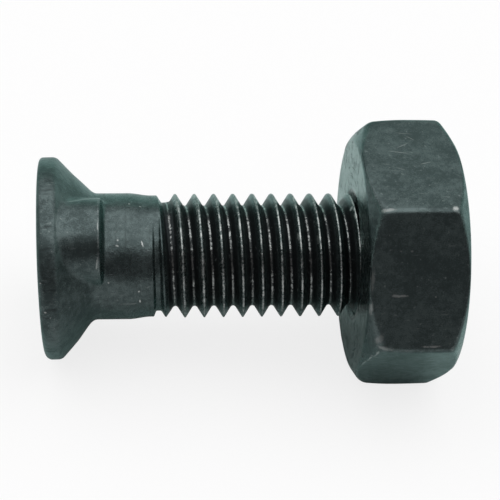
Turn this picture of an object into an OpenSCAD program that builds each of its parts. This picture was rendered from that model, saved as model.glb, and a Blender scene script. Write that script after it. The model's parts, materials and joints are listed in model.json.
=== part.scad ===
// Countersunk plough bolt with an oval head and one nib, and a heavy hexagon nut on its coarse thread.
// Each piece is drawn along +Z, head down, with the origin where the countersunk seat meets the shank.
// There +X is the side that lies uppermost at rest and +Y is the front side.
// The pair then lies on its side, on the head's rim and on one flat of the nut. All sizes are in millimetres.

/* [Head] */
// Diameter of the head over its rim
head_d = 15.65; // [14:0.05:18]
// Height of the head, from the top of its crown to the shank
head_h = 4.25; // [4:0.05:6]
// Rise of the oval crown over the edge of the head
crown_rise = 0.3; // [0.1:0.05:0.8]
// Angle between opposite sides of the countersunk seat
seat_angle = 95; // [85:1:105]
// Radius where the crown turns into the rim
face_round = 0.55; // [0.2:0.05:0.7]
// Radius where the rim turns into the seat
seat_round = 0.65; // [0.2:0.05:0.9]
// How far the forged head leans off square, in degrees
head_lean = 1.5; // [0:0.1:2]

/* [Nib] */
// Distance from the bolt's axis to the crest of the nib
nib_reach = 7.1; // [6.4:0.1:7.3]
// Radius of the nib's round crest
nib_round = 3.4; // [2.6:0.1:3.4]
// Width of the nib where it meets the shank
nib_base_w = 7.2; // [7.1:0.1:7.5]
// How far the nib runs down the shank
nib_run = 1; // [0.6:0.1:1.4]
// How far the end of the nib leans back, from its foot to its crest
nib_draft = 0.45; // [0.1:0.05:0.6]
// Bevel round the end of the nib
nib_bevel = 0.25; // [0.1:0.05:0.4]
// Angle of the nib, from the uppermost side towards the front
nib_turn = 33; // [0:1:90]

/* [Shank] */
// Diameter of the plain shank
shank_d = 9.78; // [9.7:0.02:10]
// Length of the plain shank, from the seat to the thread's run-out
shank_len = 4.2; // [3.5:0.1:8]
// Diameter of the shank where the thread starts
waist_d = 9.36; // [9.2:0.02:9.6]
// Length over which the shank draws in to that diameter
draw_len = 2.6; // [1.5:0.1:3]

/* [Thread] */
// Overall length of the bolt, head included
bolt_len = 30; // [25:1:40]
// Diameter over the thread's crests
thread_d = 9.62; // [9.5:0.02:9.7]
// Advance of the thread in one turn
pitch = 1.5; // [1.25:0.25:1.75]
// Depth of the thread's groove
thread_depth = 0.9; // [0.7:0.05:1]
// Width of the blunt crest
crest_w = 0.14; // [0.1:0.02:0.24]
// Width of the rounded root
root_w = 0.36; // [0.2:0.02:0.4]
// Rise of the root's edges over its middle
root_sag = 0.08; // [0.02:0.01:0.12]
// Length over which the groove reaches its depth
runout_len = 1.4; // [1:0.1:2]
// Angle of the helix at its start, from the uppermost side towards the front
thread_turn = 91; // [0:1:359]

/* [Nut] */
// Width of the nut across its flats
nut_af = 18.5; // [17:0.1:20]
// Height of the nut
nut_h = 7.6; // [6.5:0.1:9]
// Angle of the nut's chamfers to its faces
nut_chamfer = 34; // [25:1:40]
// Diameter of the flat ring that the chamfers leave on each face
nut_face_d = 18; // [16:0.1:18.2]
// Width of the worn land along each corner of the hexagon
corner_land = 0.35; // [0.1:0.05:0.6]
// Gap between the thread's crests and the nut's bore, on the radius
bore_gap = 0.05; // [0.03:0.01:0.08]
// Diameter of the countersink at each end of the bore
entry_d = 10.8; // [10.4:0.1:11.4]
// How far the nut's outer face stands past the end of the bolt
end_recess = 2; // [0:0.1:3]

/* [Hidden] */

// Steps round one turn of the thread, and along one rounded edge
turn_steps = 24;
round_steps = 6;
// Overlap that joins solids of one piece
sink = 0.4;
// Step down from the shank to the blank of the thread
blank_step = 0.02;

head_r = head_d / 2;
shank_r = shank_d / 2;
waist_r = waist_d / 2;
crest_r = thread_d / 2;
root_r = crest_r - thread_depth;
seat_slope = tan(seat_angle / 2);
seat_h = (head_r - shank_r) / seat_slope;
cap_r = head_r - face_round;
cap_slope = atan(2 * crown_rise / cap_r);
crown_edge_z = crown_rise - head_h;
bolt_end = bolt_len - head_h;

blank_r = waist_r - blank_step;
thread_from = shank_len - sink;
point_r = root_r - blank_step;
flank_w = (pitch - crest_w - root_w) / 2;
// Distance along the bolt and height over the root, for each point of one pitch
groove = [
    [0, thread_depth],
    [crest_w, thread_depth],
    [crest_w + flank_w, root_sag],
    [crest_w + flank_w + root_w / 2, 0],
    [pitch - flank_w, root_sag]
];
groove_points = len(groove);
// The grid of points starts two turns before the thread and ends one turn after it
thread_lines = groove_points * (ceil((bolt_end - thread_from) / pitch) + 3);

flat_r = nut_af / 2;
corner_r = flat_r / cos(30);
land_r = norm([corner_r - corner_land / 2 * tan(30), corner_land / 2]);
face_r = nut_face_d / 2;
bore_r = crest_r + bore_gap;
entry_r = entry_d / 2;
nut_from = bolt_end + end_recess - nut_h;

// Both pieces lie on two points: the round of the rim, and the flat of the nut where its chamfer starts
rim_centre = turned([crown_edge_z + face_round, -cap_r], head_lean);
nut_foot_z = nut_from + (flat_r - face_r) * tan(nut_chamfer);
foot_run = nut_foot_z - rim_centre[0];
foot_drop = flat_r + rim_centre[1];
rest_tilt = atan2(foot_drop, foot_run) - asin(face_round / norm([foot_run, foot_drop]));

// A point given as [along, across], turned about the origin by an angle
function turned(p, a) = [p[0] * cos(a) - p[1] * sin(a), p[0] * sin(a) + p[1] * cos(a)];

// Points [radius, along] on a round edge about a centre, between two angles
function round_edge(centre, r, a0, a1, steps = round_steps) = [
    for (i = [0 : steps])
        let (a = a0 + (a1 - a0) * i / steps)
        centre + r * [cos(a), sin(a)]
];

// The crown is a shallow cap that ends where the round of the rim starts
function crown(i) = let (r = cap_r * i / round_steps) [r, -head_h + crown_rise * pow(r / cap_r, 2)];

// Half the outline of the head, from its crown to inside the shank
function head_outline() = concat(
    [for (i = [0 : round_steps - 1]) crown(i)],
    round_edge([cap_r, crown_edge_z + face_round], face_round, cap_slope - 90, 0),
    round_edge(
        [head_r - seat_round, -seat_h - seat_round * tan(seat_angle / 4)],
        seat_round, 0, seat_angle / 2
    ),
    [[shank_r - sink, sink / seat_slope], [0, sink / seat_slope]]
);

// Radius of the shank as it draws in to its waist
function shank_radius(z) = shank_r - (shank_r - waist_r) * pow(max(z - shank_len + draw_len, 0) / draw_len, 2);

// How far the run-out has come at a place along the bolt, from 0 at the shank to 1 at the full thread
function bite(z) = min(max(z - shank_len, 0) / runout_len, 1);

// A point of the thread: j counts the steps round, m the points along
function thread_point(j, m) =
    let (
        part = groove[m % groove_points],
        raw = thread_from + pitch * (floor(m / groove_points) - 2 + j / turn_steps) + part[0],
        z = min(max(raw, thread_from), bolt_end),
        blank = blank_r + bite(z) * (crest_r - blank_r),
        r = min(blank - bite(z) * (thread_depth - part[1]), point_r + bolt_end - z),
        a = thread_turn + 360 * j / turn_steps
    )
    [r * cos(a), r * sin(a), z];

// The index of a thread point: a step past the last line round is the first line, one pitch on
function thread_index(j, m) =
    j < turn_steps
        ? j * thread_lines + min(m, thread_lines - 1)
        : thread_index(j - turn_steps, m + groove_points);

function is_open(tri, pts) =
    pts[tri[0]] != pts[tri[1]] && pts[tri[1]] != pts[tri[2]] && pts[tri[2]] != pts[tri[0]];

module thread() {
    pts = [for (j = [0 : turn_steps - 1]) for (m = [0 : thread_lines - 1]) thread_point(j, m)];
    sides = [
        for (j = [0 : turn_steps - 1])
            for (m = [0 : thread_lines - 2])
                let (
                    a = thread_index(j, m), b = thread_index(j, m + 1),
                    c = thread_index(j + 1, m + 1), d = thread_index(j + 1, m)
                )
                for (tri = [[a, b, d], [b, c, d]])
                    if (is_open(tri, pts)) tri
    ];
    near_end = [for (j = [0 : turn_steps - 1]) thread_index(j, 0)];
    far_end = [for (j = [turn_steps - 1 : -1 : 0]) thread_index(j, thread_lines - 1)];
    polyhedron(points = pts, faces = concat(sides, [near_end, far_end]), convexity = 10);
}

module head() {
    rotate([0, head_lean, 0])
        rotate_extrude($fn = 96) polygon(head_outline());
}

module shank() {
    rotate_extrude($fn = 96)
        polygon(concat(
            [[0, -seat_h / 2], [shank_r, -seat_h / 2], [shank_r, shank_len - draw_len]],
            [for (i = [1 : round_steps])
                let (z = shank_len - draw_len * (1 - i / round_steps))
                [shank_radius(z), z]],
            [[0, shank_len]]
        ));
}

// Half the section of the nib, as [out, aside]: half its round crest, and a flank that runs on into the shank
function nib_side() =
    let (
        foot = [sqrt(pow(shank_r, 2) - pow(nib_base_w / 2, 2)), nib_base_w / 2],
        centre = [nib_reach - nib_round, 0],
        from_centre = foot - centre,
        meet = atan2(from_centre[1], from_centre[0]) - acos(nib_round / norm(from_centre)),
        crest = round_edge(centre, nib_round, 0, meet, 2 * round_steps),
        flank = foot - crest[len(crest) - 1],
        inner = foot + sink * flank / norm(flank)
    )
    concat(crest, [inner, [0, inner[1]]]);

// Place along the bolt of the nib's end, at a radius
function nib_end(r) = nib_run - nib_draft * (r - shank_r) / (nib_reach - shank_r);

// The nib is a key with a round crest, whose end leans back and is bevelled
module nib() {
    side = nib_side();
    bevel_r = nib_reach - nib_bevel;
    inner_r = shank_r - sink;
    rotate(nib_turn)
        intersection() {
            translate([0, 0, -seat_h])
                linear_extrude(seat_h + nib_run + sink)
                    polygon(concat(
                        side,
                        [for (i = [len(side) - 1 : -1 : 1]) [side[i][0], -side[i][1]]]
                    ));
            rotate_extrude($fn = 96)
                polygon([
                    [0, -head_h],
                    [nib_reach + sink, -head_h],
                    [nib_reach + sink, nib_end(nib_reach) - nib_bevel - sink],
                    [bevel_r, nib_end(bevel_r)],
                    [inner_r, nib_end(inner_r)],
                    [0, nib_end(inner_r)]
                ]);
        }
}

// Half the outline of the turned nut blank: chamfers at both ends
function nut_outline() = let (drop = (corner_r - face_r) * tan(nut_chamfer)) [
    [0, 0],
    [face_r, 0],
    [corner_r, drop],
    [corner_r, nut_h - drop],
    [face_r, nut_h],
    [0, nut_h]
];

// Half the outline of the bore, with a countersink at each end
function bore_outline() = let (cut = entry_r - bore_r, past = sink) [
    [0, -past],
    [entry_r + past, -past],
    [bore_r, cut],
    [bore_r, nut_h - cut],
    [entry_r + past, nut_h + past],
    [0, nut_h + past]
];

module nut_blank() {
    intersection() {
        rotate(30) cylinder(h = nut_h, r = corner_r, $fn = 6);
        cylinder(h = nut_h, r = land_r, $fn = 96);
        rotate_extrude($fn = 96) polygon(nut_outline());
    }
}

// Lays a piece on its side, tipped down to the head as far as the rim and the nut let it
module at_rest() {
    rotate([0, 90 - rest_tilt, 0]) rotate(180) children();
}

module bolt() {
    color([0.27, 0.33, 0.32])
        at_rest()
            union() {
                head();
                nib();
                shank();
                thread();
            }
}

module nut() {
    color([0.2, 0.24, 0.24])
        at_rest()
            translate([0, 0, nut_from])
                difference() {
                    nut_blank();
                    rotate_extrude($fn = 96) polygon(bore_outline());
                }
}

bolt();
nut();
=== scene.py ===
"""A plough bolt of blackened steel with its heavy hexagon nut, lying on a pale studio floor."""

import json
import logging
import math
from dataclasses import dataclass
from enum import Enum
from functools import reduce
from typing import Any, Mapping, Sequence

import bmesh
import bpy
import numpy as np
from mathutils import Matrix, Vector


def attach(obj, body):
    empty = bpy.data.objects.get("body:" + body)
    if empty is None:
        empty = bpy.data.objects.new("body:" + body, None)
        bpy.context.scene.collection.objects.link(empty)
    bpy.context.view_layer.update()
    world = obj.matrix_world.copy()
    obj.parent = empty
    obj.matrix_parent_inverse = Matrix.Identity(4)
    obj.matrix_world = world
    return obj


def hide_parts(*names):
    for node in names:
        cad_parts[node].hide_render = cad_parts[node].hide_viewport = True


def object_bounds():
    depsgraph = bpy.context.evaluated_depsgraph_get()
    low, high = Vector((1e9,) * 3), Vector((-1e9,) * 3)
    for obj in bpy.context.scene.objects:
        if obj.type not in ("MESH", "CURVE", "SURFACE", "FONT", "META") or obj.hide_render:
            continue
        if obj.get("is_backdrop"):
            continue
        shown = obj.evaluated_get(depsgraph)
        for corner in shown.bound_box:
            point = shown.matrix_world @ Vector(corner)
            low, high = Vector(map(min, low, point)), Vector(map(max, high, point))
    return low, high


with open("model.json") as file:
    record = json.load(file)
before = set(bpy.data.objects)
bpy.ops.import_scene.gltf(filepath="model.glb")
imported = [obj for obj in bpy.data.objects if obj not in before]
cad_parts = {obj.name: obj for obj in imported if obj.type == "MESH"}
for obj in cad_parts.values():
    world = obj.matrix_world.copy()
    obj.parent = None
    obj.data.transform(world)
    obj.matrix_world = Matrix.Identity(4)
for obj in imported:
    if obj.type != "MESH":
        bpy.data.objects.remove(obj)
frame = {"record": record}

LOG = logging.getLogger("plough_bolt")

MM = 0.001
TURN = 2 * math.pi
TINY = 1e-3

Colour = tuple[float, float, float]
Pair = tuple[float, float]
Curve = tuple[Pair, ...]
Point = tuple[float, float, float]
Array = np.ndarray


def smooth_step(x: Array, low: float, high: float) -> Array:
    """A soft step from 0 at low to 1 at high, where low may be the larger."""
    t = np.clip((np.asarray(x, float) - low) / (high - low), 0, 1)
    return t * t * (3 - 2 * t)


def soft_max(a: Array, b: Array, blend: Array | float) -> Array:
    """The larger of two heights, with a fillet that starts where they differ by the blend."""
    return np.maximum(a, b) + np.maximum(blend - np.abs(a - b), 0) ** 2 / (4 * blend)


def soft_min(a: Array, b: Array, blend: float) -> Array:
    """The smaller of two heights, with a round where they cross."""
    return -soft_max(-a, -b, blend)


def circle_reach(away: Array, centre: float, radius: float) -> Array:
    """Distance to a circle's far side, at an angle away from the line through its centre."""
    inside = np.maximum(radius**2 - (centre * np.sin(away)) ** 2, 0)
    return centre * np.cos(away) + np.sqrt(inside)


def closed_turn(degrees: Array) -> Array:
    """Angles over one turn in radians and in order, with the first one once more a turn on."""
    turn = np.sort(np.radians(degrees) % TURN)
    return np.append(turn, turn[0] + TURN)


def profile(rows: Sequence[Sequence[Array | float]], columns: int) -> list[Array]:
    """Spreads an outline's rows over the columns of a mesh.

    Args:
        rows: The values of each row, which are single numbers or differ by column.
        columns: Number of columns.

    Returns:
        For each kind of value an array by row and by column.
    """
    return [
        np.array([np.broadcast_to(np.asarray(value, float), columns) for value in kind])
        for kind in zip(*rows)
    ]


@dataclass(frozen=True)
class Rub:
    """How strongly a place rubs, from 0 to 1, and how wide, in millimetres."""

    strength: float
    width: float

    def at(self, distance: Array) -> Array:
        """The wear at a distance, as a bell that is nearly gone at twice the width."""
        return self.strength * np.exp(-((distance / self.width) ** 2))


@dataclass(frozen=True)
class Lie:
    """How the bolt lies at rest: unit vectors along it, to its uppermost side and to its front."""

    along: Array
    upper: Array
    front: Array

    @classmethod
    def from_record(cls, record: Mapping[str, Any]) -> "Lie":
        """Reads the bolt's direction from its seat, with the front towards -Y.

        Args:
            record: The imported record.

        Returns:
            The three directions.
        """
        along = np.array(mount(record, "seat")["axis"], float)
        along /= np.linalg.norm(along)
        front = np.array([0.0, -1.0, 0.0])
        return cls(along, np.cross(front, along), front)

    def place(self, radius: Array, angle: Array, along: Array) -> Array:
        """Turns cylinder coordinates about the bolt into points.

        Args:
            radius: Distance from the axis, in millimetres.
            angle: Angle from the uppermost side towards the front, in radians.
            along: Distance along the bolt from its seat, in millimetres.

        Returns:
            Points in metres, with the coordinates on the last axis.
        """
        parts = (
            (radius * np.cos(angle), self.upper),
            (radius * np.sin(angle), self.front),
            (along + 0 * radius, self.along),
        )
        return MM * sum(length[..., None] * direction for length, direction in parts)


def mount(record: Mapping[str, Any], name: str) -> Mapping[str, Any]:
    """The record's mount of that name."""
    return next(m for m in record["mounts"] if m["name"] == name)


def linked(name: str, data: bpy.types.ID) -> bpy.types.Object:
    """Makes an object and links it to the scene.

    Args:
        name: Name of the object.
        data: Its mesh, lamp or camera.

    Returns:
        The object.
    """
    made = bpy.data.objects.new(name, data)
    bpy.context.scene.collection.objects.link(made)
    return made


class Mark(Enum):
    """What the finishes read at each vertex, as the name of a mesh attribute.

    WEAR is how much a place rubs, from 0 to 1. CREST and ROOT are distances in millimetres from the middle of
    the thread's crest and of its root. GROOVE is how far down the thread a place lies, from 0 at the crest
    to 1 at the root. TURNED is 1 where the surface was cut on a lathe.
    """

    WEAR = "wear"
    CREST = "crest_mm"
    ROOT = "root_mm"
    GROOVE = "groove"
    TURNED = "turned"


class Skin:
    """A mesh that is put together from grids of points and then welded.

    Points within WELD metres become one. A plain place counts as FAR millimetres from a crest and a root.
    """

    WELD = 1e-7
    FAR = 5.0

    def __init__(self, name: str) -> None:
        """Starts an empty skin.

        Args:
            name: Name of the piece.
        """
        self.name = name
        self.points: list[Array] = []
        self.faces: list[Array] = []
        self.marks: dict[Mark, list[Array]] = {mark: [] for mark in Mark}
        self.count = 0

    def add_points(self, points: Array, marks: Mapping[Mark, Array | float]) -> Array:
        """Adds a block of points.

        Args:
            points: The points in metres, with the coordinates on the last axis.
            marks: What the finish reads there, for the marks that differ from a plain place.

        Returns:
            The index of each point, in the same layout.
        """
        shape = points.shape[:-1]
        size = int(np.prod(shape))
        self.points.append(points.reshape(-1, 3))
        for mark, kept in self.marks.items():
            plain = self.FAR if mark in (Mark.CREST, Mark.ROOT) else 0.0
            values = np.broadcast_to(np.asarray(marks.get(mark, plain), float), shape)
            kept.append(values.reshape(-1))
        indices = self.count + np.arange(size).reshape(shape)
        self.count += size
        return indices

    def add_quads(self, indices: Array, flip: bool = False) -> None:
        """Adds the faces between neighbouring points of a grid.

        Args:
            indices: Indices of the points, by row and by column.
            flip: True where the rows run against the axis that the columns turn about.
        """
        corners = (indices[:-1, :-1], indices[:-1, 1:], indices[1:, 1:], indices[1:, :-1])
        quads = np.stack(corners, -1).reshape(-1, 4)
        self.faces.append(quads[:, ::-1] if flip else quads)

    def build(self) -> bpy.types.Object:
        """Makes the object, welded and smooth.

        Returns:
            The object, linked to the scene.
        """
        mesh = bpy.data.meshes.new(self.name)
        mesh.from_pydata(np.concatenate(self.points), [], np.concatenate(self.faces).tolist())
        for mark, kept in self.marks.items():
            layer = mesh.attributes.new(mark.value, "FLOAT", "POINT")
            layer.data.foreach_set("value", np.concatenate(kept))
        work = bmesh.new()
        work.from_mesh(mesh)
        bmesh.ops.remove_doubles(work, verts=work.verts, dist=self.WELD)
        bmesh.ops.dissolve_degenerate(work, dist=self.WELD, edges=work.edges)
        work.to_mesh(mesh)
        work.free()
        mesh.shade_smooth()
        return linked(self.name, mesh)


@dataclass(frozen=True)
class Thread:
    """The coarse right-hand thread. Lengths are in millimetres, angles in degrees."""

    pitch: float = 1.5
    crest_r: float = 4.81
    depth: float = 0.9
    crest_w: float = 0.14
    crest_worn: float = 0.03
    root_w: float = 0.36
    root_sag: float = 0.08
    crest_at: float = 3.87
    turned_by: float = 91
    edge_line: float = 0.025
    flank_lines: int = 4
    root_lines: int = 3
    spare_turns: int = 2
    # How much further off a crest or root counts where it isn't formed yet
    hidden: float = 2.0

    def foot(self) -> float:
        """Distance from the crest's middle to the foot of its flank."""
        return (self.pitch - self.root_w) / 2

    def phases(self) -> Array:
        """Distances from the middle of a crest, over one pitch, at which the mesh has a line.

        Returns:
            The distances in rising order.
        """
        half = self.crest_w / 2
        flank = np.linspace(half, self.foot(), self.flank_lines + 2)
        root = np.linspace(flank[-1], self.pitch / 2, self.root_lines + 1)
        right = np.concatenate([[half / 2, half, half + self.edge_line], flank[1:], root[1:]])
        return np.concatenate([-right[-2::-1], [0.0], right])

    def lead(self, angle: Array) -> Array:
        """How far the helix has run along the bolt at an angle in radians."""
        return self.pitch * (angle - math.radians(self.turned_by)) / TURN

    def distance(self, along: Array, angle: Array) -> Array:
        """Signed distance along the bolt from the nearest crest's middle, within half a pitch."""
        return (along - self.crest_at - self.lead(angle) + self.pitch / 2) % self.pitch - self.pitch / 2

    def height(self, distance: Array) -> Array:
        """The thread's section: a blunt crest on straight flanks, over a root with a bowl.

        Args:
            distance: Distance from the crest's middle.

        Returns:
            Height over the root.
        """
        away = np.abs(distance)
        half, foot = self.crest_w / 2, self.foot()
        up_flank = np.clip((foot - away) / (foot - half), 0, 1)
        flank = self.root_sag + (self.depth - self.root_sag) * up_flank
        bowl = self.root_sag * ((self.pitch / 2 - away) / (self.root_w / 2)) ** 2
        worn = self.crest_worn * smooth_step(away, half / 2, half) * up_flank
        return np.where(away < foot, flank, bowl) - worn

    def grid(self, low: float, high: float, around: Array) -> Array:
        """Distances along the bolt of lines that follow the helix, held between two rings.

        Args:
            low: Where the lines start.
            high: Where the lines end.
            around: Angle of each column in radians, with the first one once more a turn on.

        Returns:
            Distances by line and by column.
        """
        first = math.floor((low - self.crest_at) / self.pitch) - self.spare_turns
        last = math.ceil((high - self.crest_at) / self.pitch) + self.spare_turns
        starts = self.crest_at + self.pitch * np.arange(first, last)
        lines = (starts[:, None] + self.phases()).reshape(-1)
        return np.clip(lines[:, None] + self.lead(around), low, high)

    def marks(self, away: Array, crest_share: Array, root_share: Array) -> dict[Mark, Array | float]:
        """What the finish reads on the thread.

        Args:
            away: Distance from the nearest crest's middle.
            crest_share: How far the crest has come out of the blank, from 0 to 1.
            root_share: How far the root is cut, from 0 to 1.

        Returns:
            The marks by place.
        """
        return {
            Mark.CREST: away + self.hidden * (1 - crest_share),
            Mark.ROOT: self.pitch / 2 - away + self.hidden * (1 - root_share),
            Mark.GROOVE: root_share * (1 - self.height(away) / self.depth),
        }


class Piece:
    """A piece with a finish, which stands for a node of the part and rides on its body."""

    name: str
    node: str
    slot: str

    def dress(self, made: bpy.types.Object, material: bpy.types.Material) -> None:
        """Gives the piece its finish and puts it in its node's place.

        Args:
            made: The piece's object.
            material: Its material.
        """
        made.data.materials.append(material)
        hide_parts(self.node)
        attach(made, self.node)
        LOG.info("%s: %d faces", self.name, len(made.data.polygons))


@dataclass(frozen=True)
class Bolt(Piece):
    """The bolt: an oval countersunk head with one nib, a plain shank and a coarse thread.

    Lengths are in millimetres and angles in degrees. Distances along start where the seat meets the shank.
    A span is where a soft step starts and ends.
    """

    lie: Lie
    thread: Thread
    name: str = "plough_bolt"
    node: str = "bolt"
    slot: str = "bolt_steel"
    # The head, whose face has a sharper edge on one side
    head_r: float = 7.825
    head_h: float = 4.25
    crown_rise: float = 0.3
    seat_angle: float = 95
    face_round: float = 0.55
    sharp_round: float = 0.28
    sharp_turn: float = -42
    sharp_span: Pair = (0.2, 0.95)
    seat_round: float = 0.65
    seat_blend: float = 0.35
    head_lean: float = 1.9
    head_shift: Pair = (0.05, -0.07)
    lean_over: float = 1.6
    # The nib
    nib_reach: float = 7.1
    nib_round: float = 3.3
    nib_base_w: float = 6.75
    nib_turn: float = 30.5
    nib_run: float = 1.05
    nib_draft: float = 0.6
    nib_growth: float = 0.12
    growth_span: Pair = (36, 20)
    nib_blend: float = 0.25
    nib_foot_blend: float = 0.2
    blend_span: Pair = (-0.3, 0.4)
    nib_end_blend: float = 0.7
    nib_end_foot: float = 0.3
    nib_end_lean: float = 1.02
    # The shank, the groove's start and the end of the bolt
    shank_r: float = 4.89
    waist_r: float = 4.71
    draw_span: Pair = (2.7, 4.4)
    bite_shares: Curve = ((4.26, 0.0), (4.42, 0.35), (4.8, 0.5), (5.55, 0.62), (6.3, 1.0))
    bite_edges: Curve = ((0, 1.04), (50, 0.81), (137, 0.68), (360, 0.0))
    bite_soft: float = 0.12
    crest_span: Pair = (5.2, 6.2)
    bolt_end: float = 25.75
    point_r: float = 3.89
    # What the finish reads
    face_rub: Rub = Rub(0.12, 0.3)
    rim_rub: Rub = Rub(0.1, 0.3)
    nib_rub: Rub = Rub(0.42, 0.09)
    nib_rub_back: float = 0.05
    nib_rub_above: Pair = (0.4, 1.0)
    turned: float = 0.6
    turned_span: Pair = (-0.2, 0.6)
    crest_line_span: Pair = (5.7, 6.1)
    root_line_span: Pair = (5.0, 5.3)
    wide_crest: float = 0.45
    wide_crest_span: Pair = (6.5, 12.0)
    # The mesh
    nib_sector: float = 56
    nib_columns: int = 124
    far_columns: int = 92
    head_rings: tuple[int, int, int, int] = (15, 9, 6, 8)
    shank_rings: tuple[int, int, int, int] = (26, 8, 30, 26)
    fine_from: float = -0.3
    finest_past_nib: Pair = (-0.35, 0.12)
    thread_from: float = 3.9
    end_rings: int = 6

    def columns(self) -> Array:
        """Angles of the mesh's columns, closer together across the nib.

        Returns:
            The angles over a turn in radians, with the first one once more at the end.
        """
        near = np.linspace(-self.nib_sector, self.nib_sector, self.nib_columns, endpoint=False)
        far = np.linspace(self.nib_sector, 360 - self.nib_sector, self.far_columns, endpoint=False)
        return closed_turn(np.concatenate([near, far]) + self.nib_turn)

    def seat_slope(self) -> float:
        """Growth of the seat's radius for each millimetre towards the head."""
        return math.tan(math.radians(self.seat_angle / 2))

    def seat_h(self) -> float:
        """Height of the seat's cone, from the shank to the rim."""
        return (self.head_r - self.shank_r) / self.seat_slope()

    def head_rows(self, around: Array) -> list[Array]:
        """The outline from the crown's middle to the cone.

        Args:
            around: Angle of each column in radians.

        Returns:
            Radii and distances along, by row and by column.
        """
        away = np.cos(around - math.radians(self.sharp_turn))
        sharp = smooth_step(away, *self.sharp_span)
        face_round = self.face_round + (self.sharp_round - self.face_round) * sharp
        cap_r = self.head_r - face_round
        edge = self.crown_rise - self.head_h
        half = math.radians(self.seat_angle / 2)
        seat_z = -self.seat_h() - self.seat_round * math.tan(half / 2)
        crown_rings, face_rings, rim_rings, seat_rings = self.head_rings
        rows: list[tuple[Array | float, Array | float]] = []
        for share in np.linspace(0, 1, crown_rings)[1:-1]:
            rows.append((cap_r * share, -self.head_h + self.crown_rise * share**2))
        slope = math.atan(2 * self.crown_rise / (self.head_r - self.face_round))
        for turn in np.linspace(slope - math.pi / 2, 0, face_rings):
            rows.append((cap_r + face_round * math.cos(turn), edge + face_round * (1 + math.sin(turn))))
        for share in np.linspace(0, 1, rim_rings)[1:-1]:
            rows.append((self.head_r, edge + face_round + share * (seat_z - edge - face_round)))
        for turn in np.linspace(0, half, seat_rings):
            radius = self.head_r - self.seat_round * (1 - math.cos(turn))
            rows.append((radius, seat_z + self.seat_round * math.sin(turn)))
        return profile(rows, len(around))

    def body_radius(self, along: Array) -> Array:
        """The cone and the plain shank, with the fillet between them.

        Args:
            along: Distances along the bolt.

        Returns:
            Their radius.
        """
        cone = self.shank_r - along * self.seat_slope()
        shank = self.shank_r - (self.shank_r - self.waist_r) * smooth_step(along, *self.draw_span)
        return soft_max(cone, shank, self.seat_blend)

    def nib_radius(self, angle: Array) -> Array:
        """Reach of the nib's section: a round crest on flanks that lean and run into the shank.

        Args:
            angle: Angle from the uppermost side towards the front, in radians.

        Returns:
            The reach from the bolt's axis, which is 0 away from the nib.
        """
        away = np.abs((angle - math.radians(self.nib_turn) + math.pi) % TURN - math.pi)
        half_base = self.nib_base_w / 2
        foot = np.array([math.sqrt(self.shank_r**2 - half_base**2), half_base])
        centre = self.nib_reach - self.nib_round
        gap = foot - [centre, 0]
        meet = math.atan2(gap[1], gap[0]) - math.acos(self.nib_round / math.hypot(*gap))
        edge = np.array([centre + self.nib_round * math.cos(meet), self.nib_round * math.sin(meet)])
        across = np.array([foot[1] - edge[1], edge[0] - foot[0]])
        facing = across[0] * np.cos(away) + across[1] * np.sin(away)
        flank = across @ foot / np.maximum(facing, TINY)
        crest = circle_reach(away, centre, self.nib_round)
        reach = np.where(away < math.atan2(edge[1], edge[0]), crest, flank)
        return np.where(away < math.pi / 2, reach, 0)

    def nib_surface(self, along: Array, angle: Array) -> Array:
        """Radius of the nib with its end, which leans more and more from its foot and is rounded on top.

        Args:
            along, angle: The places, as in Lie.place.

        Returns:
            The nib's radius, which is 0 away from it.
        """
        share = np.clip((self.nib_run - along) / self.nib_draft, -1, 1)
        end = self.shank_r + self.nib_end_foot * share / (self.nib_end_lean - share)
        end = end - np.maximum(along - self.nib_run - self.nib_draft, 0)
        away = np.degrees(np.arccos(np.cos(angle - math.radians(self.nib_turn))))
        growth = self.nib_growth * smooth_step(away, *self.growth_span)
        nib = self.nib_radius(angle) + growth * np.maximum(self.nib_run - along, 0)
        return np.maximum(soft_min(nib, end, self.nib_end_blend), 0)

    def shank_rows(self) -> Array:
        """The mesh's rows from the cone to the thread's first ring, closest at the nib's end.

        Returns:
            Distances along the bolt.
        """
        half = math.radians(self.seat_angle / 2)
        start = -self.seat_h() - self.seat_round * (math.tan(half / 2) - math.sin(half))
        before, past = self.finest_past_nib
        finest = (self.nib_run - self.nib_draft + before, self.nib_run + past)
        stops = (start, self.fine_from, *finest, self.thread_from)
        parts = zip(stops, stops[1:], self.shank_rings)
        return np.concatenate([np.linspace(low, high, rings)[1:] for low, high, rings in parts])

    def bite(self, along: Array, angle: Array) -> Array:
        """How much of the groove's depth is cut, from 0 to 1, by where the groove's middle has got to.

        The first turn starts narrow, and its edge comes up to the crest over the turn.

        Args:
            along, angle: The places, as in Lie.place.

        Returns:
            The share of the full depth.
        """
        away = self.thread.distance(along, angle)
        middle = along - away + np.sign(away) * self.thread.pitch / 2
        turned = angle % TURN
        held = np.interp(np.degrees(turned), *zip(*self.bite_edges))
        past_edge = along - self.thread.lead(turned) - self.thread.crest_at - held
        ramp = smooth_step(past_edge, -self.bite_soft, self.bite_soft)
        return ramp * np.interp(middle, *zip(*self.bite_shares))

    def thread_radius(self, along: Array, angle: Array) -> Array:
        """The thread, whose groove starts shallow and flat, with the chamfer of the point.

        Args:
            along, angle: The places, as in Lie.place.

        Returns:
            Its radius.
        """
        grown = smooth_step(along, *self.crest_span)
        blank = self.body_radius(along) + grown * (self.thread.crest_r - self.waist_r)
        depth = self.thread.depth - self.thread.height(self.thread.distance(along, angle))
        cut = blank - np.minimum(depth, self.thread.depth * self.bite(along, angle))
        return np.minimum(cut, self.point_r + self.bolt_end - along)

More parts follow.
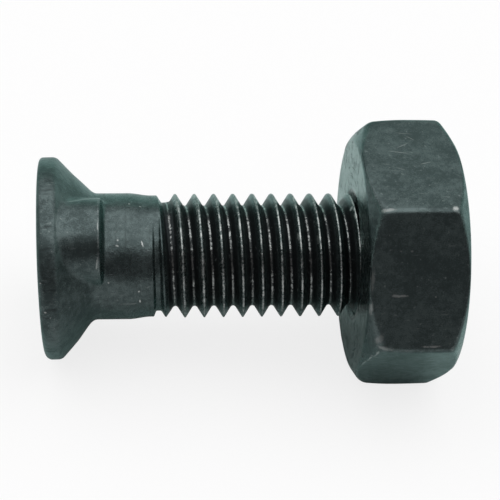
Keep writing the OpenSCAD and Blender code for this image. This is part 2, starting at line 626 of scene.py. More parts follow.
    def leaned(self, radius: Array, angle: Array, along: Array) -> Array:
        """Points of the head and shank, where the head leans off square and sits a little low.

        Args:
            radius, angle, along: The places, as in Lie.place.

        Returns:
            Points in metres.
        """
        share = smooth_step(-along, 0, self.lean_over)
        lean = math.radians(self.head_lean) * share
        forward, upward = self.head_shift
        up, aside = radius * np.cos(angle), radius * np.sin(angle)
        new_up = up * np.cos(lean) + along * np.sin(lean) + share * upward
        new_along = along * np.cos(lean) - up * np.sin(lean) + share * forward
        return self.lie.place(np.hypot(new_up, aside), np.arctan2(aside, new_up), new_along)

    def wear(self, radius: Array, angle: Array, along: Array) -> Array:
        """How much the head and the nib rub: along the nib's end and, less, on the rim's two edges.

        Args:
            radius, angle, along: The places, as in Lie.place.

        Returns:
            Wear from 0 to 1.
        """
        face = np.hypot(radius - self.head_r, along - self.crown_rise + self.head_h)
        rim = np.hypot(radius - self.head_r, along + self.seat_h())
        end = np.abs(along - self.nib_run + self.nib_draft + self.nib_rub_back)
        reach_above, above = self.nib_rub_above
        stand = np.clip(self.nib_radius(angle) - self.shank_r - reach_above, 0, 1)
        on_nib = stand * (radius > self.shank_r + above)
        on_head = np.maximum(self.face_rub.at(face), self.rim_rub.at(rim))
        return np.maximum(on_head, self.nib_rub.at(end) * on_nib)

    def build(self) -> bpy.types.Object:
        """Makes the bolt's mesh.

        Returns:
            The bolt, in place.
        """
        skin = Skin(self.name)
        around = self.columns()
        head_radius, head_along = self.head_rows(around)
        angle, along = np.meshgrid(around, self.shank_rows())
        towards_head = smooth_step(-along, *self.blend_span)
        blend = self.nib_foot_blend + (self.nib_blend - self.nib_foot_blend) * towards_head
        radius = soft_max(self.body_radius(along), self.nib_surface(along, angle), blend)
        radius = np.concatenate([head_radius, radius])
        along = np.concatenate([head_along, along])
        angle = np.concatenate([np.broadcast_to(around, head_radius.shape), angle])
        marks = {
            Mark.WEAR: self.wear(radius, angle, along),
            Mark.TURNED: self.turned * smooth_step(along, *self.turned_span),
        }
        indices = skin.add_points(self.leaned(radius, angle, along), marks)
        skin.add_quads(indices)
        middle = self.leaned(np.zeros(len(around)), around, np.full(len(around), -self.head_h))
        skin.add_quads(np.concatenate([skin.add_points(middle[None], {}), indices[:1]]))
        self.add_thread(skin, around)
        return skin.build()

    def add_thread(self, skin: Skin, around: Array) -> None:
        """Adds the thread, its run-out and the end of the bolt.

        Args:
            skin: The bolt's skin.
            around: Angle of each column in radians, with the first one once more a turn on.
        """
        along = self.thread.grid(self.thread_from, self.bolt_end, around)
        angle = np.broadcast_to(around, along.shape)
        crest_share = smooth_step(along, *self.crest_line_span)
        root_share = smooth_step(along, *self.root_line_span)
        marks = self.thread.marks(np.abs(self.thread.distance(along, angle)), crest_share, root_share)
        narrowed = smooth_step(along, *self.wide_crest_span)
        marks[Mark.CREST] *= self.wide_crest + (1 - self.wide_crest) * narrowed
        marks[Mark.TURNED] = self.turned
        points = self.lie.place(self.thread_radius(along, angle), angle, along)
        skin.add_quads(skin.add_points(points, marks))
        end_angle, end_radius = np.meshgrid(around, np.linspace(self.point_r, 0, self.end_rings))
        end_along = np.full(end_radius.shape, self.bolt_end)
        end = skin.add_points(self.lie.place(end_radius, end_angle, end_along), {Mark.TURNED: 1.0})
        skin.add_quads(end)


@dataclass(frozen=True)
class Nut(Piece):
    """The heavy hexagon nut, chamfered on both faces. Lengths are in millimetres, angles in degrees.

    A pair is for the inner face and the outer face. SIDE is the angle between two corners of the hexagon, and
    HALF_SIDE is half of it in radians.
    """

    SIDE = 60
    HALF_SIDE = math.pi / 6

    lie: Lie
    thread: Thread
    start: float
    name: str = "hexagon_nut"
    node: str = "nut"
    slot: str = "nut_steel"
    flat_r: float = 9.29
    height: float = 7.6
    chamfer: float = 34
    face_r: float = 9.03
    ring_round: float = 0.7
    corner_round: float = 0.53
    flat_round: float = 0.3
    corner_rounds: Pair = (0.9, 0.45)
    swells: Pair = (0.01, 0.003)
    entry_r: float = 4.98
    clearance: float = 0.04
    minor_r: float = 4.2
    # What the finish reads
    corner_rub: Rub = Rub(0.18, 0.38)
    edge_rub: Rub = Rub(0.15, 0.4)
    tip_rub: Rub = Rub(0.42, 0.6)
    flats_rub: Rub = Rub(1, 0.22)
    # The bore takes dirt and painted shade, as if it lay deep in a groove
    bore_dirt_and_shade: float = 0.7
    # The mesh
    corner_columns: int = 6
    past_corner: tuple[float, ...] = (1.15, 1.5, 2.1, 3.2)
    flat_columns: int = 9
    face_rings: int = 8
    face_edge: float = 0.03
    ring_rings: int = 4
    cone_shares: tuple[float, ...] = (0.15, 0.35, 0.6, 0.85)
    edge_rings: int = 8
    flat_shares: tuple[float, ...] = (0.05, 0.12, 0.24, 0.4, 0.7, 1.0)

    def columns(self) -> Array:
        """Angles of the mesh's columns, close together at the hexagon's corners.

        Returns:
            The angles over a turn in radians, with the first one once more at the end.
        """
        tangent = math.degrees(self.tangent())
        corner = np.linspace(0, tangent, self.corner_columns)
        near = np.concatenate([corner, tangent * np.array(self.past_corner)])
        side = np.concatenate([near, np.linspace(near[-1], self.SIDE / 2, self.flat_columns)[1:]])
        sector = np.concatenate([side, self.SIDE - side[-2:0:-1]])
        turned = sector[None] + np.arange(0, 360, self.SIDE)[:, None] + self.SIDE / 2
        return closed_turn(turned.reshape(-1))

    def corner_centre(self) -> float:
        """Distance from the axis to the middle of a corner's round."""
        return (self.flat_r - self.corner_round) / math.cos(self.HALF_SIDE)

    def tangent(self) -> float:
        """Angle between a corner and the place where its round meets the flat, in radians."""
        across = self.corner_round * math.sin(self.HALF_SIDE)
        return math.atan2(across, self.corner_centre() + self.corner_round * math.cos(self.HALF_SIDE))

    def from_corner(self, angle: Array) -> Array:
        """Angle from the nearest corner, in radians."""
        return np.abs(angle % (2 * self.HALF_SIDE) - self.HALF_SIDE)

    def hex_radius(self, angle: Array) -> Array:
        """The hexagon with its round corners.

        Args:
            angle: Angles in radians.

        Returns:
            Its radius.
        """
        away = self.from_corner(angle)
        flat = self.flat_r / np.cos(self.HALF_SIDE - away)
        corner = circle_reach(away, self.corner_centre(), self.corner_round)
        return np.where(away < self.tangent(), corner, flat)

    def end_rows(self, reach: Array, corner_round: float, swell: float) -> list[Array]:
        """One end of the outside, from the countersink over the chamfer to the middle of the flats.

        Args:
            reach: Radius of the hexagon at each column.
            corner_round: How much rounder the chamfer's edge is at the corners than on the flats.
            swell: Share by which the hexagon is smaller at this end.

        Returns:
            Radii, distances from the end's face and how far each place is turned, by row and by column.
        """
        slope = math.radians(self.chamfer)
        outward = smooth_step(reach, self.flat_r, self.flat_r / math.cos(self.HALF_SIDE))
        edge_round = self.flat_round + corner_round * outward
        rise = self.ring_round * math.tan(slope / 2)
        fall = edge_round * math.tan((math.pi / 2 - slope) / 2)
        tip = reach * (1 - swell)
        drop = (tip - self.face_r) * math.tan(slope)
        cone_start = self.face_r + rise * math.cos(slope)
        cone_end = tip - fall * math.cos(slope)
        rows: list[tuple[Array | float, Array | float, float]] = []
        for radius in np.linspace(self.entry_r, self.face_r - rise - self.face_edge, self.face_rings):
            rows.append((radius, 0.0, 1.0))
        for turn in np.linspace(0, slope, self.ring_rings):
            radius = self.face_r - rise + self.ring_round * math.sin(turn)
            rows.append((radius, self.ring_round * (1 - math.cos(turn)), 1.0))
        for share in self.cone_shares:
            radius = cone_start + share * (cone_end - cone_start)
            rows.append((radius, (radius - self.face_r) * math.tan(slope), 1.0))
        for turn in np.linspace(slope, math.pi / 2, self.edge_rings):
            radius = tip - edge_round * (1 - math.sin(turn))
            along = drop + fall - edge_round * math.cos(turn)
            rows.append((radius, along, float(1 - smooth_step(turn, slope, math.pi / 2))))
        for share in self.flat_shares:
            along = drop + fall + share * (self.height / 2 - drop - fall)
            rows.append((reach * (1 - swell * (1 - share) ** 2), along, 0.0))
        return profile(rows, len(reach))

    def outline(self, angle: Array) -> list[Array]:
        """The outside from the inner face's countersink over the flats to the outer one.

        Args:
            angle: Angles of the columns in radians.

        Returns:
            Radii, distances along and how far each place is turned on a lathe, by row and by column.
        """
        reach = self.hex_radius(angle)
        ends = zip(self.corner_rounds, self.swells)
        inner, outer = (self.end_rows(reach, corner_round, swell) for corner_round, swell in ends)
        outer[1] = self.height - outer[1]
        return [np.concatenate([near, far[-2::-1]]) for near, far in zip(inner, outer)]

    def wear(self, radius: Array, angle: Array, along: Array) -> Array:
        """How much the outside rubs: most at the ends of the hexagon's corners, then along them.

        Args:
            radius, angle, along: The places, along from the inner face.

        Returns:
            Wear from 0 to 1.
        """
        reach = self.hex_radius(angle)
        corner = radius * self.from_corner(angle)
        drop = (reach - self.face_r) * math.tan(math.radians(self.chamfer))
        edge = np.hypot(radius - reach, np.minimum(along, self.height - along) - drop)
        on_flats = self.flats_rub.at(radius - reach)
        corners = self.corner_rub.at(corner) * on_flats
        tips = self.tip_rub.at(np.hypot(corner, edge)) * on_flats
        return np.maximum.reduce([corners, self.edge_rub.at(edge), tips])

    def bore_radius(self, along: Array, angle: Array) -> Array:
        """The threaded bore with its countersinks.

        Args:
            along, angle: The places, as in Lie.place.

        Returns:
            Its radius.
        """
        cut = self.thread.crest_r - self.thread.depth
        cut = cut + self.thread.height(self.thread.distance(along, angle)) + self.clearance
        inner = self.entry_r - (along - self.start)
        outer = self.entry_r - (self.start + self.height - along)
        return np.maximum.reduce([cut, inner, outer, np.full(cut.shape, self.minor_r)])

    def build(self) -> bpy.types.Object:
        """Makes the nut's mesh.

        Returns:
            The nut, in place on the bolt.
        """
        skin = Skin(self.name)
        around = self.columns()
        radius, along, turned = self.outline(around)
        angle = np.broadcast_to(around, radius.shape)
        marks = {Mark.WEAR: self.wear(radius, angle, along), Mark.TURNED: turned}
        skin.add_quads(skin.add_points(self.lie.place(radius, angle, self.start + along), marks))
        rows = self.thread.grid(self.start, self.start + self.height, around)
        angle = np.broadcast_to(around, rows.shape)
        bore = self.lie.place(self.bore_radius(rows, angle), angle, rows)
        # Dirt and painted shade over the whole bore
        marks = {Mark.GROOVE: self.bore_dirt_and_shade, Mark.TURNED: 1.0}
        skin.add_quads(skin.add_points(bore, marks), flip=True)
        return skin.build()


class Value:
    """A shader socket that stands in Python expressions."""

    def __init__(self, surface: "Surface", socket: bpy.types.NodeSocket) -> None:
        """Wraps an output socket of a surface's tree."""
        self.surface = surface
        self.socket = socket

    def maths(self, operation: str, *operands: "Value | float") -> "Value":
        """Adds a Math node."""
        return self.surface.node("ShaderNodeMath", {"operation": operation}, dict(enumerate(operands)))

    def __add__(self, other: "Value | float") -> "Value":
        """This value plus another."""
        return self.maths("ADD", self, other)

    def __sub__(self, other: "Value | float") -> "Value":
        """This value less another."""
        return self.maths("SUBTRACT", self, other)

    def __rsub__(self, other: float) -> "Value":
        """A number less this value."""
        return self.maths("SUBTRACT", other, self)

    def __mul__(self, other: "Value | float") -> "Value":
        """This value times another."""
        return self.maths("MULTIPLY", self, other)

    def __rtruediv__(self, other: float) -> "Value":
        """A number over this value."""
        return self.maths("DIVIDE", other, self)

    __radd__ = __add__
    __rmul__ = __mul__

    def root(self) -> "Value":
        """The square root of this value."""
        return self.maths("SQRT", self)

    def either(self, other: "Value | float") -> "Value":
        """The larger of this value and another."""
        return self.maths("MAXIMUM", self, other)

    def both(self, other: "Value | float") -> "Value":
        """The smaller of this value and another."""
        return self.maths("MINIMUM", self, other)


def stirred(value: Value | float, *patterns: tuple[Value | float, Value]) -> Value:
    """A value with noise patterns added about their middle, each after its share."""
    return sum((share * (pattern - 0.5) for share, pattern in patterns), start=value)


class Pattern(Enum):
    """Noise patterns: features for each unit of place, finer layers and their strength."""

    CLOUD = (0.45, 4, 0.6)
    BLOTS = (0.9, 5, 0.75)
    MOTTLE = (2.4, 3, 0.55)
    GRAIN = (12, 3, 0.6)
    SPECKS = (3.6, 2, 0.5)
    STREAKS = (1, 3, 0.6)
    HAIRS = (1, 2, 0.4)
    BREAKS = (1.5, 4, 0.7)
    DOTS = (6.5, 2, 0.5)


class Surface:
    """A material under construction."""

    def __init__(self, name: str) -> None:
        """Starts a material with an empty tree.

        Args:
            name: Name of the material.
        """
        self.material = bpy.data.materials.new(name)
        self.material.use_nodes = True
        self.tree = self.material.node_tree
        self.tree.nodes.clear()

    def node(
        self,
        kind: str,
        settings: Mapping[str, Any] | None = None,
        inputs: Mapping[int | str, Any] | None = None,
        output: int | str = 0,
    ) -> Value:
        """Adds a node.

        Args:
            kind: The node's type.
            settings: Its settings, which are set first.
            inputs: The value or link of each socket, by its number or name.
            output: The output that is wanted.

        Returns:
            That output.
        """
        made = self.tree.nodes.new(kind)
        for key, setting in (settings or {}).items():
            setattr(made, key, setting)
        for key, value in (inputs or {}).items():
            if isinstance(value, Value):
                self.tree.links.new(value.socket, made.inputs[key])
            else:
                made.inputs[key].default_value = value
        return Value(self, made.outputs[output])

    def mark(self, mark: Mark) -> Value:
        """Reads one of the mesh's marks."""
        return self.node("ShaderNodeAttribute", {"attribute_name": mark.value}, output="Fac")

    def place(self) -> Value:
        """The point on the piece, in millimetres."""
        coordinates = self.node("ShaderNodeTexCoord", output="Object")
        return self.node("ShaderNodeVectorMath", {"operation": "SCALE"}, {0: coordinates, "Scale": 1 / MM})

    def component(self, vector: Value, direction: Sequence[float]) -> Value:
        """The length of a vector along a direction."""
        settings = {"operation": "DOT_PRODUCT"}
        return self.node("ShaderNodeVectorMath", settings, {0: vector, 1: tuple(direction)}, output="Value")

    def vector(self, x: Value | float, y: Value | float, z: Value | float) -> Value:
        """A vector of three values."""
        return self.node("ShaderNodeCombineXYZ", inputs={0: x, 1: y, 2: z})

    def stretched(self, scales: Pair, run: Value, *across: Value) -> Value:
        """A place for noise that changes slowly along a run and fast across it."""
        slow, fast = scales
        return self.vector(slow * run, *(fast * way for way in across))

    def noise(self, place: Value, pattern: Pattern) -> Value:
        """Noise from 0 to 1 about a half."""
        names = ("Scale", "Detail", "Roughness")
        return self.node("ShaderNodeTexNoise", inputs={"Vector": place, **dict(zip(names, pattern.value))})

    def step(self, value: Value, low: Value | float, high: Value | float) -> Value:
        """A soft step from 0 at low to 1 at high, where low may be the larger."""
        inputs = {"Value": value, "From Min": low, "From Max": high}
        return self.node("ShaderNodeMapRange", {"interpolation_type": "SMOOTHSTEP"}, inputs)

    def between(self, share: Value, first: Any, second: Any) -> Value:
        """A colour between two colours."""
        settings = {"data_type": "RGBA"}
        return self.node("ShaderNodeMix", settings, {0: share, 6: rgba(first), 7: rgba(second)}, output=2)

    def ray(self, kind: str) -> Value:
        """1 for rays of that kind, and 0 for others."""
        return self.node("ShaderNodeLightPath", output=kind)

    def finish(self, coat: Mapping[str, Any], over: tuple[Value, Value] | None = None) -> bpy.types.Material:
        """Ends the tree with a Principled shader.

        Args:
            coat: The shader's inputs.
            over: Where another shader is seen instead, from 0 to 1, and that shader.

        Returns:
            The material.
        """
        shader = self.node("ShaderNodeBsdfPrincipled", inputs=coat)
        if over:
            shader = self.node("ShaderNodeMixShader", inputs={0: over[0], 1: shader, 2: over[1]})
        output = self.tree.nodes.new("ShaderNodeOutputMaterial")
        self.tree.links.new(shader.socket, output.inputs["Surface"])
        return self.material


def rgba(colour: Any) -> Any:
    """A colour with its alpha, or a link as it is."""
    return colour if isinstance(colour, Value) else (*colour, 1.0)


def blended(share: Value, first: Value | float, second: Value | float) -> Value:
    """A value that goes from the first at a share of 0 to the second at 1."""
    return first + share * (second - first)


@dataclass(frozen=True)
class Nick:
    """A small mark where the finish is knocked off; the long mark on the nib's upper edge is a painted
    highlight. Lengths are in millimetres, angles in degrees.

    DEPTH is half the distance through the surface over which a nick shows.
    """

    DEPTH = 0.6

    along: float
    angle: float
    radius: float
    length: float
    width: float
    slant: float = 0
    strength: float = 1

    def mapping(self, lie: Lie) -> dict[str, tuple[float, ...]]:
        """The place, turn and size of the mark, which is as long as the slanted line along the surface.

        Args:
            lie: How the bolt lies.

        Returns:
            The inputs of a Mapping node that turns the mark into a ball of radius 1.
        """
        turn, slant = math.radians(self.angle), math.radians(self.slant)
        outward = lie.upper * math.cos(turn) + lie.front * math.sin(turn)
        around = lie.front * math.cos(turn) - lie.upper * math.sin(turn)
        run = lie.along * math.cos(slant) + around * math.sin(slant)
        axes = Matrix(np.column_stack([run, np.cross(outward, run), outward]).tolist())
        return {
            "Location": tuple(lie.along * self.along + outward * self.radius),
            "Rotation": tuple(axes.to_euler("XYZ")),
            "Scale": (self.length / 2, self.width / 2, self.DEPTH),
        }


def nick_rows(*rows: tuple[float, ...]) -> tuple[Nick, ...]:
    """Nicks from rows of their places and sizes."""
    return tuple(Nick(*row) for row in rows)


BOLT_NICKS_AND_GLINT = nick_rows(
    (3.67, 36, 4.9, 0.4, 0.11, 72),
    (3.42, 81, 4.9, 0.14, 0.14, 0, 0.8),
    (3.5, 92, 4.9, 0.36, 0.1, 85),
    (1.84, 33, 4.9, 0.12, 0.12, 0, 0.6),
    (1.78, 38, 4.9, 0.18, 0.1, 20, 0.6),
    (2.75, -7, 4.9, 0.12, 0.1, 0, 0.7),
    (3.6, -4, 4.9, 0.2, 0.1, 30, 0.6),
    (1.14, 71, 4.9, 0.14, 0.12, 0, 0.8),
    (2.7, 95, 4.9, 1.3, 0.06, 0, 0.3),
    (0.36, 29, 7.0, 0.1, 0.6, 0, 0.4),
    (0.3, 52, 6.8, 0.12, 0.8, 6, 0.45),
    # Painted highlight along the nib's upper edge, standing in for the edge's reflection
    (-0.9, 7.6, 6.65, 2.1, 0.2, -20, 0.3),
    (-3.8, 62, 7.8, 0.14, 0.12, 0, 0.6),
    (-3.5, 79, 7.8, 0.16, 0.1, 0, 0.6),
    (15.53, 30, 4.75, 0.3, 0.9, 3),
    (17.0, 32, 4.75, 0.26, 0.9, 3, 0.6),
    (11.03, 20, 4.75, 0.24, 0.6, 3, 0.9),
    (8.08, 28, 4.75, 0.3, 0.24, 0, 0.9),
    (11.19, 56, 4.75, 0.3, 0.16, 0, 0.9),
    (19.72, -3, 4.75, 0.3, 0.4, 12),
    (19.98, 9, 4.8, 0.22, 1.0, 3),
)

NUT_NICKS = nick_rows(
    (22.36, 66.5, 9.3, 1.05, 0.2, 0, 0.5),
    (25.1, 67, 9.3, 0.16, 0.14, 0, 0.4),
    (23.2, 46, 9.5, 0.22, 0.16, 0, 0.25),
    (22.4, 46, 9.5, 0.18, 0.14, 0, 0.2),
    (20.4, 59, 9.3, 0.3, 1.6, 3, 0.26),
    (20.3, 73, 9.5, 0.3, 1.0, 6, 0.32),
    (21.0, 86, 10.3, 0.5, 1.0, 20, 0.22),
    (21.3, 89, 10.5, 1.3, 0.3, 0, 0.25),
    (24.9, 88, 10.4, 1.3, 0.14, 0, 0.5),
    (23.0, -8, 9.35, 1.5, 0.07, 12, 0.35),
    (23.5, -13, 9.5, 1.2, 0.07, -30, 0.3),
    (24.1, -18, 9.7, 0.9, 0.07, 40, 0.3),
    (23.7, -21, 9.9, 1.1, 0.06, 8, 0.25),
    (24.9, 0, 9.3, 0.9, 0.07, -18, 0.35),
    (22.9, 4, 9.3, 0.8, 0.06, 25, 0.25),
    (26.35, 29, 10.5, 0.42, 0.5, 15, 0.6),
    (21.4, 29.5, 10.5, 1.1, 0.3, 0, 0.3),
    (21.0, 95, 10.3, 1.0, 0.14, 100, 0.5),
    (21.15, 99, 10.1, 0.6, 0.12, 30, 0.35),
    (20.75, 98, 10.0, 0.5, 0.12, 160, 0.4),
    (20.65, 102, 9.8, 1.1, 0.12, 100, 0.6),
    (20.4, 110, 9.5, 1.1, 0.12, 98, 0.5),
    (25.6, 104, 9.5, 1.2, 0.16, 14, 0.28),
    (24.9, 109, 9.4, 0.8, 0.14, -20, 0.28),
    (25.9, 110, 9.4, 0.7, 0.12, 40, 0.3),
    (24.2, 102, 9.6, 0.6, 0.12, -35, 0.24),
)


class BlackenedSteel(Surface):
    """Phosphated steel: dark and satin, with a faint green cast, rubbed grey and then bright where it wears,
    with dirt and painted shade in the grooves and painted highlights along the roots.

    A span is where a soft step starts and ends, and a stir is how far a pattern moves it. Scales are features
    for each millimetre, along a run and across it.
    """

    # Colours
    coat: Colour = (0.044, 0.059, 0.059)
    thin_coat: Colour = (0.084, 0.11, 0.109)
    # Bare metal on worn crests, rubs and nicks; the same colour paints the highlight along the thread's roots
    # and the nib's upper edge
    rubbed: Colour = (0.16, 0.185, 0.183)
    bare_and_glint: Colour = (0.42, 0.44, 0.43)
    # Near-black: real dirt in the drag marks and stains, and dirt with painted shade down the thread's
    # grooves and in the nut's bore
    grime_and_shade: Colour = (0.014, 0.016, 0.017)
    glance: Colour = (0.72, 0.96, 0.92)
    # The coat, its streaks and stains, and the dirt and painted shade in the grooves and the bore
    thin_stirs: Pair = (0.6, 1.0)
    thin_span: Pair = (0.32, 0.7)
    thin_rings: float = 1.1
    ring_scale: float = 7
    ring_drifts: Pair = (0.9, 0.7)
    ring_core: float = 0.5
    stain_stir: float = 0.5
    stain_span: Pair = (0.5, 0.68)
    stain_grime: float = 0.55
    groove_span: Pair = (0.25, 0.6)
    # Drag marks on the head's rim
    rim_r_span: Pair = (7.5, 7.7)
    rim_along_span: Pair = (-1.9, -2.3)
    drag_scales: Pair = (0.7, 3.2)
    drag_span: Pair = (0.46, 0.8)
    drag_grime: float = 0.7
    # Rubbed and bare places
    rub_stir: float = 0.5
    rub_span: Pair = (0.2, 0.6)
    bare_span: Pair = (0.75, 1.05)
    speck_span: Pair = (0.68, 0.74)
    speck_rub: float = 0.7
    scratch_scales: Pair = (0.9, 9)
    scratch_slant: float = 0.8
    scratch_across: float = 0.7
    scratch_spans: tuple[Pair, Pair] = ((0.66, 0.72), (0.7, 0.75))
    scratch_patches: Pair = (0.45, 0.6)
    scratch_rub: float = 0.5
    nick_stir: float = 2.2
    nick_span: Pair = (1.2, 0.6)
    # Bright lines on the thread: bare metal on the worn crests, and a painted highlight along the roots
    crest_stir: float = 0.2
    crest_span: Pair = (0.105, 0.055)
    patch_stir: float = 0.7
    crest_patches: Pair = (0.36, 0.66)
    crest_bright: Pair = (0.08, 0.85)
    root_stir: float = 0.16
    root_span: Pair = (0.08, 0.04)
    root_patches: Pair = (0.38, 0.6)
    root_bright: Pair = (0.06, 0.55)
    root_dots: Pair = (0.3, 0.5)
    # Roughness, metal and relief
    coat_rough: Pair = (0.38, 0.32)
    grain_rough: float = 0.12
    dirt_and_shade_rough: float = 0.1
    turned_rough: float = -0.17
    stain_rough: float = 0.2
    rubbed_rough: float = 0.42
    root_rough: float = 0.08
    bright_gain: float = 3
    coat_metal: float = 0.9
    dirt_and_shade_metal: float = 0.6
    specular: float = 0.1
    relief: float = 0.00002
    relief_strength: float = 0.6
    relief_mottle: float = 1.8
    relief_drag: float = -0.6

    def __init__(self, name: str, lie: Lie, nicks: Sequence[Nick]) -> None:
        """Starts the material with the point's place on the bolt and the two patterns that stir the others.

        Args:
            name: Name of the material.
            lie: How the bolt lies.
            nicks: The piece's nicks.
        """
        super().__init__(name)
        self.lie = lie
        self.nicks = nicks
        self.point = self.place()
        axes = (lie.along, lie.upper, lie.front)
        self.along, self.up, self.front = (self.component(self.point, axis) for axis in axes)
        self.radius = (self.up * self.up + self.front * self.front).root()
        self.mottle = self.noise(self.point, Pattern.MOTTLE)
        self.grain = self.noise(self.point, Pattern.GRAIN)
        self.turned = self.mark(Mark.TURNED)

    def make(self) -> bpy.types.Material:
        """Builds the material.

        Returns:
            The finished material.
        """
        rings, dragged = self.rings(), self.dragged()
        blots = self.noise(self.point, Pattern.BLOTS)
        blots = stirred(blots, (self.stain_stir, rings), (self.stain_stir, self.grain))
        stain = self.step(blots, *self.stain_span) * self.turned
        thin = self.thin(rings)
        # Dirt and painted shade down the grooves and in the bore, with real dirt in the drag marks and stains
        dirt_and_shade = self.step(self.mark(Mark.GROOVE), *self.groove_span)
        dirt_and_shade = dirt_and_shade.either(self.drag_grime * dragged).either(self.stain_grime * stain)
        rub = stirred(self.mark(Mark.WEAR), (self.rub_stir, self.mottle), (self.rub_stir, self.grain))
        specks = self.speck_rub * self.step(self.noise(self.point, Pattern.SPECKS), *self.speck_span)
        rubbed = self.step(rub, *self.rub_span).either(specks).either(self.scratches())
        crest, root = self.thread_lines()
        bright = crest.either(root).either(self.step(rub, *self.bare_span)).either(self.knocked())
        colour: Colour | Value = self.coat
        layers = (self.thin_coat, self.grime_and_shade, self.rubbed, self.bare_and_glint)
        for share, over in zip((thin, dirt_and_shade, rubbed, bright), layers):
            colour = self.between(share, colour, over)
        rough = stirred(blended(thin, *self.coat_rough), (self.grain_rough, self.grain))
        rough = rough + self.dirt_and_shade_rough * dirt_and_shade + self.turned_rough * self.turned + self.stain_rough * stain
        rough = blended(rubbed.either(bright), rough, self.rubbed_rough)
        rough = blended((self.bright_gain * root).both(1.0), rough, self.root_rough)
        metal = blended(dirt_and_shade, self.coat_metal, self.dirt_and_shade_metal)
        metal = blended((self.bright_gain * bright).both(1.0), metal, 1.0)
        relief = self.grain + self.relief_mottle * self.mottle + self.relief_drag * dragged
        bump = {"Strength": self.relief_strength, "Distance": self.relief, "Height": relief}
        return self.finish({
            "Base Color": colour,
            "Metallic": metal,
            "Roughness": rough,
            "Specular IOR Level": self.specular,
            "Specular Tint": rgba(self.glance),
            "Normal": self.node("ShaderNodeBump", inputs=bump),
        })

    def thin(self, rings: Value) -> Value:
        """The coat's thin places: clouds, and streaks where the surface is turned.

        Args:
            rings: Streaks round the bolt's axis.

        Returns:
            How thin the coat is, about 0 to 1.
        """
        cloud = self.noise(self.point, Pattern.CLOUD)
        cloud = stirred(cloud, *zip(self.thin_stirs, (self.mottle, self.grain)))
        return stirred(self.step(cloud, *self.thin_span), (self.thin_rings * self.turned, rings))

    def rings(self) -> Value:
        """Streaks that run round the bolt's axis, as a lathe leaves them.

        Returns:
            Noise from 0 to 1 about a half.
        """
        drift, twist = self.ring_drifts
        inverse = 1 / self.radius.either(self.ring_core)
        turn_up, turn_front = self.up * inverse, self.front * inverse
        outward = self.ring_scale * self.radius + drift * turn_up
        forward = self.ring_scale * self.along + drift * turn_front
        return self.noise(self.vector(outward, forward, twist * turn_up), Pattern.STREAKS)

    def dragged(self) -> Value:
        """Dark drag marks on the head's rim, which run along the bolt.

        Returns:
            How dark they are, from 0 to 1.
        """
        on_rim = self.step(self.radius, *self.rim_r_span) * self.step(self.along, *self.rim_along_span)
        place = self.stretched(self.drag_scales, self.along, self.up, self.front)
        return on_rim * self.step(self.noise(place, Pattern.STREAKS), *self.drag_span)

    def scratches(self) -> Value:
        """Short fine scratches in two directions, in patches.

        Returns:
            How far they are rubbed, from 0 to 1.
        """
        aside = self.up - self.front
        slanted = self.along + self.scratch_slant * aside
        across = self.scratch_across * (self.along - aside)
        ways = ((self.along, self.up, self.front), (slanted, across, self.up + self.front))
        level, crossing = (
            self.step(self.noise(self.stretched(self.scratch_scales, *way), Pattern.HAIRS), *span)
            for way, span in zip(ways, self.scratch_spans)
        )
        return self.scratch_rub * level.either(crossing) * self.step(self.mottle, *self.scratch_patches)

    def knocked(self) -> Value:
        """The nicks, which have ragged outlines.

        Returns:
            How far the finish is gone, from 0 to 1, and on the nib's upper edge how strong the painted
            highlight is.
        """
        ragged = self.nick_stir * (self.grain + self.mottle - 1)
        gone = []
        for nick in self.nicks:
            mapping = {"Vector": self.point, **nick.mapping(self.lie)}
            local = self.node("ShaderNodeMapping", {"vector_type": "TEXTURE"}, mapping)
            away = self.node("ShaderNodeVectorMath", {"operation": "LENGTH"}, {0: local}, output="Value")
            gone.append(nick.strength * self.step(away + ragged, *self.nick_span))
        return reduce(Value.either, gone)

    def thread_lines(self) -> tuple[Value, Value]:
        """Bright lines on the thread, in broken patches: worn bare crests, and a painted highlight along the
        roots.

        Returns:
            How bright the crests are and how bright the roots are, from 0 to 1.
        """
        broken, dots = (self.noise(self.point, pattern) for pattern in (Pattern.BREAKS, Pattern.DOTS))
        crest = self.step(stirred(self.mark(Mark.CREST), (-self.crest_stir, dots)), *self.crest_span)
        patches = self.step(stirred(broken, (self.patch_stir, dots)), *self.crest_patches)
        crest = crest * blended(patches, *self.crest_bright)
        # Painted highlight along the middle of each root, standing in for the light its fillet reflects
        root = self.step(stirred(self.mark(Mark.ROOT), (-self.root_stir, dots)), *self.root_span)
        root = root * blended(self.step(broken, *self.root_patches), *self.root_bright)
        return crest, root * self.step(dots, *self.root_dots)


@dataclass(frozen=True)
class Camera:
    """The camera at the photograph's angle. Lengths are in millimetres, angles in degrees."""

    lie: Lie
    distance: float = 126.4
    elevation: float = 42.6
    yaw: float = 4.94
    roll: float = 0.41
    aim_along: float = 12.17
    aim_drop: float = 0.41
    field: float = 17.58
    nearest: float = 10

    def build(self) -> None:
        """Makes the camera and sets it as the scene's."""
        rise, yaw, roll = (math.radians(angle) for angle in (self.elevation, self.yaw, self.roll))
        up = self.lie.upper * math.cos(rise) - self.lie.front * math.sin(rise)
        near = self.lie.upper * math.sin(rise) + self.lie.front * math.cos(rise)
        across = math.cos(yaw)
        seen_along = np.array([across * math.cos(roll), across * math.sin(roll), -math.sin(yaw)])
        seen_up = np.array([-math.sin(roll), math.cos(roll), 0.0])
        seen = np.column_stack([seen_along, seen_up, np.cross(seen_along, seen_up)])
        turn = np.column_stack([self.lie.along, up, near]) @ seen.T
        aim = self.lie.along * self.aim_along
        spot = MM * (aim + turn @ np.array([0.0, self.aim_drop, self.distance]))
        data = bpy.data.cameras.new("camera")
        data.angle = math.radians(self.field)
        data.clip_start = MM * self.nearest
        camera = linked("camera", data)
        camera.matrix_world = Matrix.Translation(Vector(spot)) @ Matrix(turn.tolist()).to_4x4()
        bpy.context.scene.camera = camera


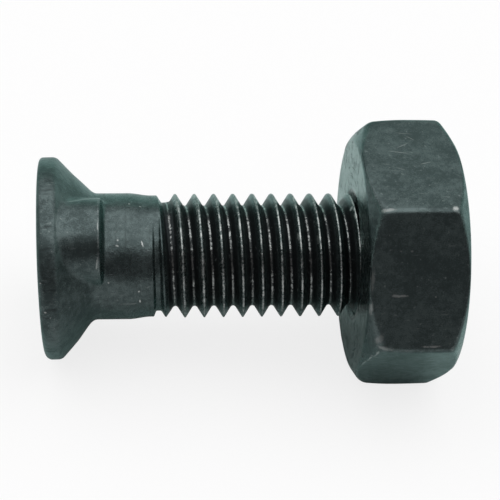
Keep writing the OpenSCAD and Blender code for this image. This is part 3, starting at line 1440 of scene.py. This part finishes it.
@dataclass(frozen=True)
class Studio:
    """A pale floor and backdrop under one broad soft light, in a dim room. Lengths are in metres."""

    floor_z: float
    floor_size: float = 6.0
    pale: Colour = (0.72, 0.72, 0.72)
    matt: float = 0.9
    specular: float = 0.2
    glow: float = 1.03
    glow_share: float = 0.78
    white: Colour = (1.0, 1.0, 1.0)
    cool: Colour = (0.8, 1.0, 0.94)
    floor_gloss: float = 0.03
    backdrop_gloss: float = 0.8
    backdrop_at: Pair = (0.9, 0.75)
    backdrop_h: float = 0.5
    backdrop_front: float = -0.2
    lamp_size: Pair = (1.5, 0.86)
    lamp_spot: Point = (0.012, 0.1, 0.5)
    lamp_power: float = 6.8
    room: Colour = (0.158, 0.148, 0.151)

    def build(self) -> None:
        """Makes the floor, the backdrop, the lamp and the room's light."""
        bpy.context.scene.view_settings.view_transform = "Standard"
        half = self.floor_size / 2
        corners = [(-half, -half), (half, -half), (half, half), (-half, half)]
        floor = [(x, y, self.floor_z) for x, y in corners]
        self.add_stage("floor", floor, [(0, 1, 2, 3)], self.white, self.floor_gloss)
        side, back = self.backdrop_at
        foot = [(-side, self.backdrop_front), (-side, back), (side, back), (side, self.backdrop_front)]
        wall = [(x, y, self.floor_z + rise) for rise in (0, self.backdrop_h) for x, y in foot]
        panels = [(i, i + 1, i + 5, i + 4) for i in range(3)]
        self.add_stage("backdrop", wall, panels, self.cool, self.backdrop_gloss)
        lamp = bpy.data.lights.new("soft_lamp", "AREA")
        lamp.shape = "RECTANGLE"
        lamp.size, lamp.size_y = self.lamp_size
        lamp.energy = self.lamp_power
        linked("soft_lamp", lamp).location = self.lamp_spot
        world = bpy.data.worlds.new("room")
        world.use_nodes = True
        background = world.node_tree.nodes["Background"]
        background.inputs["Color"].default_value = rgba(self.room)
        bpy.context.scene.world = world

    def add_stage(
        self,
        name: str,
        points: Sequence[Point],
        faces: Sequence[tuple[int, ...]],
        tone: Colour,
        gloss: float,
    ) -> None:
        """Adds a pale sheet, which looks white straight on and keeps the shadow that falls on it.

        Args:
            name: Name of the sheet.
            points: Its corners.
            faces: The corners of each of its faces.
            tone: Its colour in reflections.
            gloss: How brightly it shows in reflections, from 0 to 1.
        """
        mesh = bpy.data.meshes.new(name)
        mesh.from_pydata(points, [], faces)
        sheet = linked(name, mesh)
        surface = Surface(name)
        coat = {"Base Color": rgba(self.pale), "Roughness": self.matt, "Specular IOR Level": self.specular}
        plain = surface.between(surface.ray("Is Camera Ray"), tone, self.white)
        glow = surface.node("ShaderNodeEmission", inputs={"Color": plain, "Strength": self.glow})
        mirrored = surface.ray("Is Glossy Ray").either(surface.ray("Is Transmission Ray"))
        seen = (self.glow_share * surface.ray("Is Camera Ray")).either(gloss * mirrored)
        mesh.materials.append(surface.finish(coat, (seen, glow)))
        sheet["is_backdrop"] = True
        LOG.info("%s: %d faces", name, len(faces))


def main() -> None:
    """Builds the bolt, the nut and the studio."""
    logging.basicConfig(level=logging.INFO, format="%(name)s: %(message)s")
    cad_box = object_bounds()
    record = frame["record"]
    lie = Lie.from_record(record)
    thread = Thread()
    nut_start = float(np.dot(mount(record, "bearing_face")["pos_m"], lie.along)) / MM
    bolt = Bolt(lie, thread)
    bolt.dress(bolt.build(), BlackenedSteel("bolt_phosphate", lie, BOLT_NICKS_AND_GLINT).make())
    nut = Nut(lie, thread, nut_start)
    nut.dress(nut.build(), BlackenedSteel("nut_phosphate", lie, NUT_NICKS).make())
    Studio(floor_z=float(min(cad_box[0][2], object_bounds()[0][2]))).build()
    Camera(lie).build()


if __name__ == "__main__":
    main()
